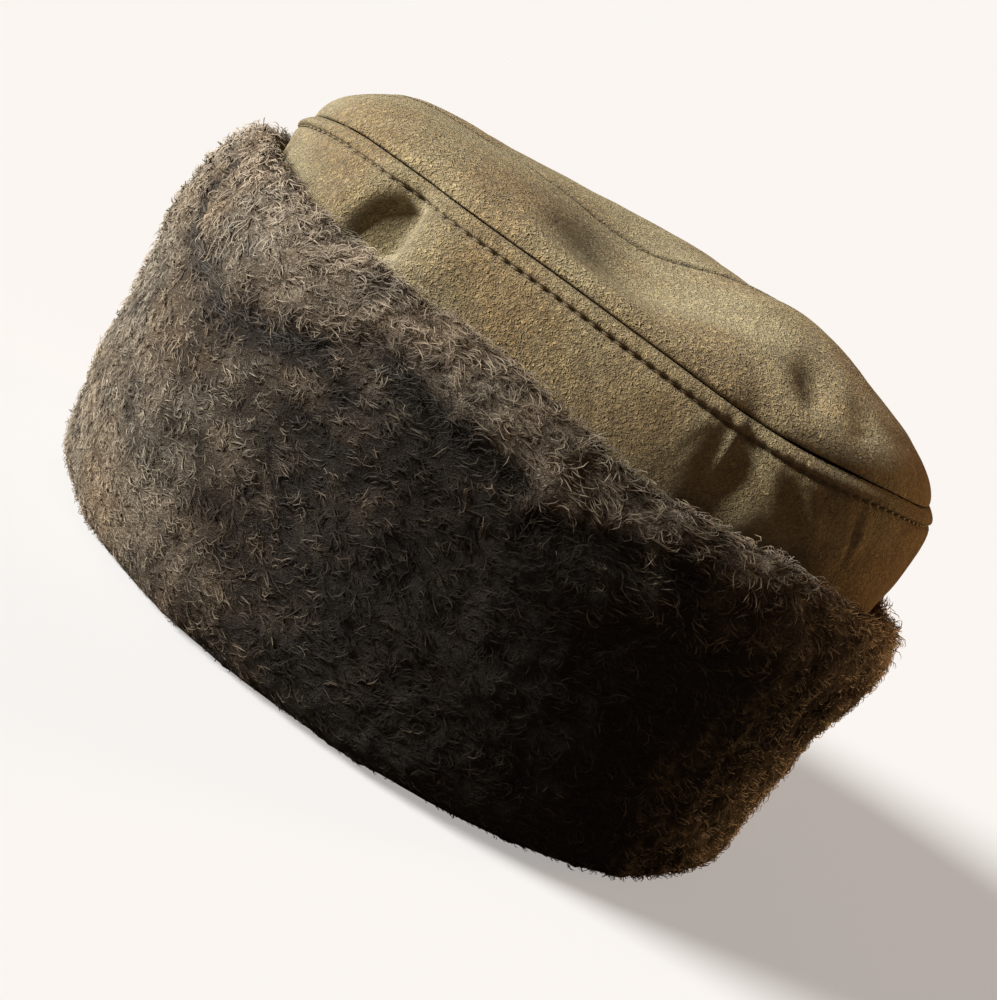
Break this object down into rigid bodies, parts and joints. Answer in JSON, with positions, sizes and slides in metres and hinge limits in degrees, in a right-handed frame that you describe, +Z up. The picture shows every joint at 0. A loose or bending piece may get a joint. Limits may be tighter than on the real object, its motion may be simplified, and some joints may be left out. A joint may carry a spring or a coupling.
{
  "type": "cossack hat",
  "caption": "Soft suede hat with a low puffed crown, a seam round the top and a wide turned-up sheepskin cuff, open underneath for the head.",
  "frame": {"origin": "middle of the hat's box, on the surface that its cuff rests on", "axes": "+X along the head's length towards the back of the hat, -X towards its front, +Z up through the crown"},
  "size_m": [0.2704, 0.2366, 0.1609],
  "materials": {
    "suede": "napped olive tan suede",
    "sheepskin": "short dense dark brown wool"
  },
  "bodies": {
    "root": {"crown_side": "suede", "top_panel_near": "suede", "top_panel_far": "suede", "fur_cuff": "sheepskin"}
  },
  "joints": []
}
